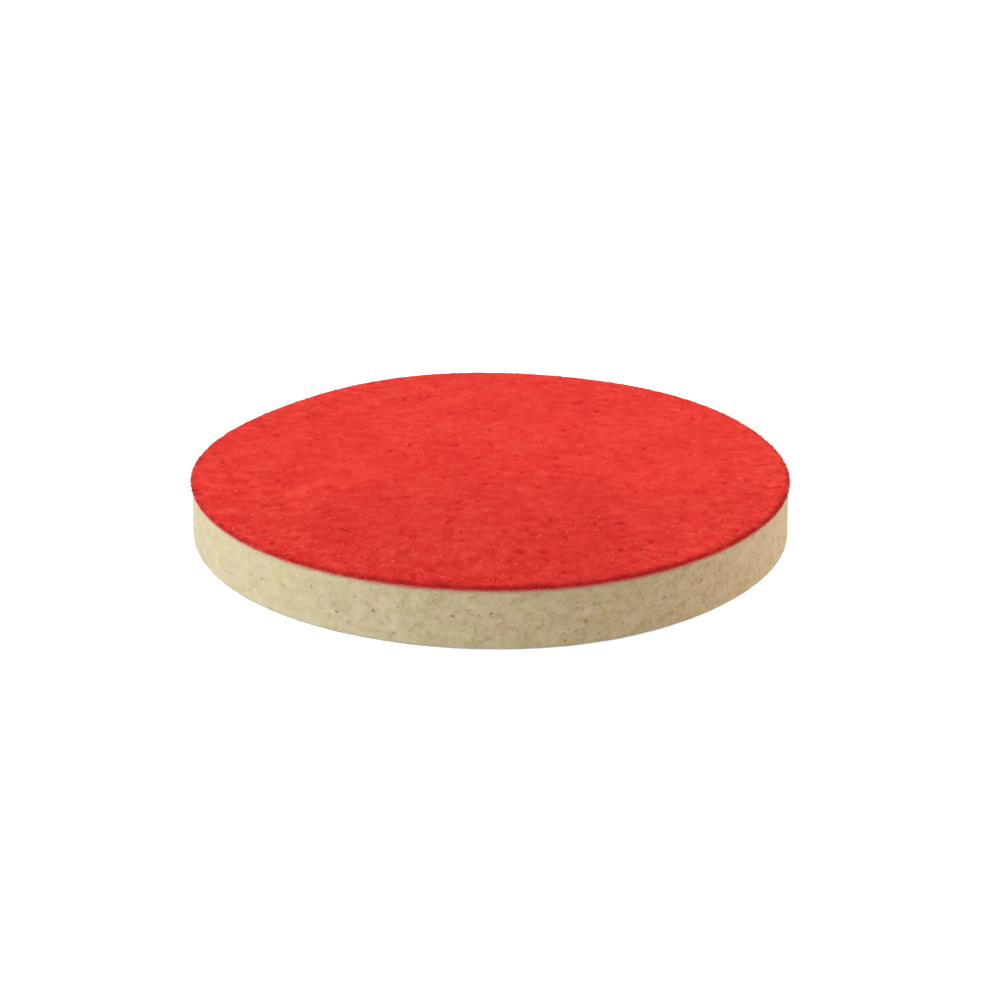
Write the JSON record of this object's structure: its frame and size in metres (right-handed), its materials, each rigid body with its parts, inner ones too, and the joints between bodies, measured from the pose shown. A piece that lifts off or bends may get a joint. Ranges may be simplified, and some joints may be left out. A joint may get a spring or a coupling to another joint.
{
  "type": "felt polishing disc",
  "caption": "Round pressed-felt polishing disc with a thin bonded loop cloth on its back, for a hook-faced backing plate.",
  "frame": {"origin": "centre of the felt working face, on the surface that the disc rests on", "axes": "+Z along the disc's axis, from the felt working face towards the loop cloth; X and Y are alike"},
  "size_m": [0.1, 0.1, 0.01],
  "materials": {
    "pressed_felt": "dense pressed wool felt, knife-cut edge, small dark flecks",
    "hot_melt_film": "thin cloudy adhesive film",
    "knitted_ground": "tight warp knit, seen only at the cut edge",
    "loop_pile": "short brushed loop pile"
  },
  "bodies": {
    "root": {"felt_body": "pressed_felt", "adhesive_film": "hot_melt_film", "loop_ground": "knitted_ground", "loop_pile": "loop_pile"}
  },
  "joints": []
}
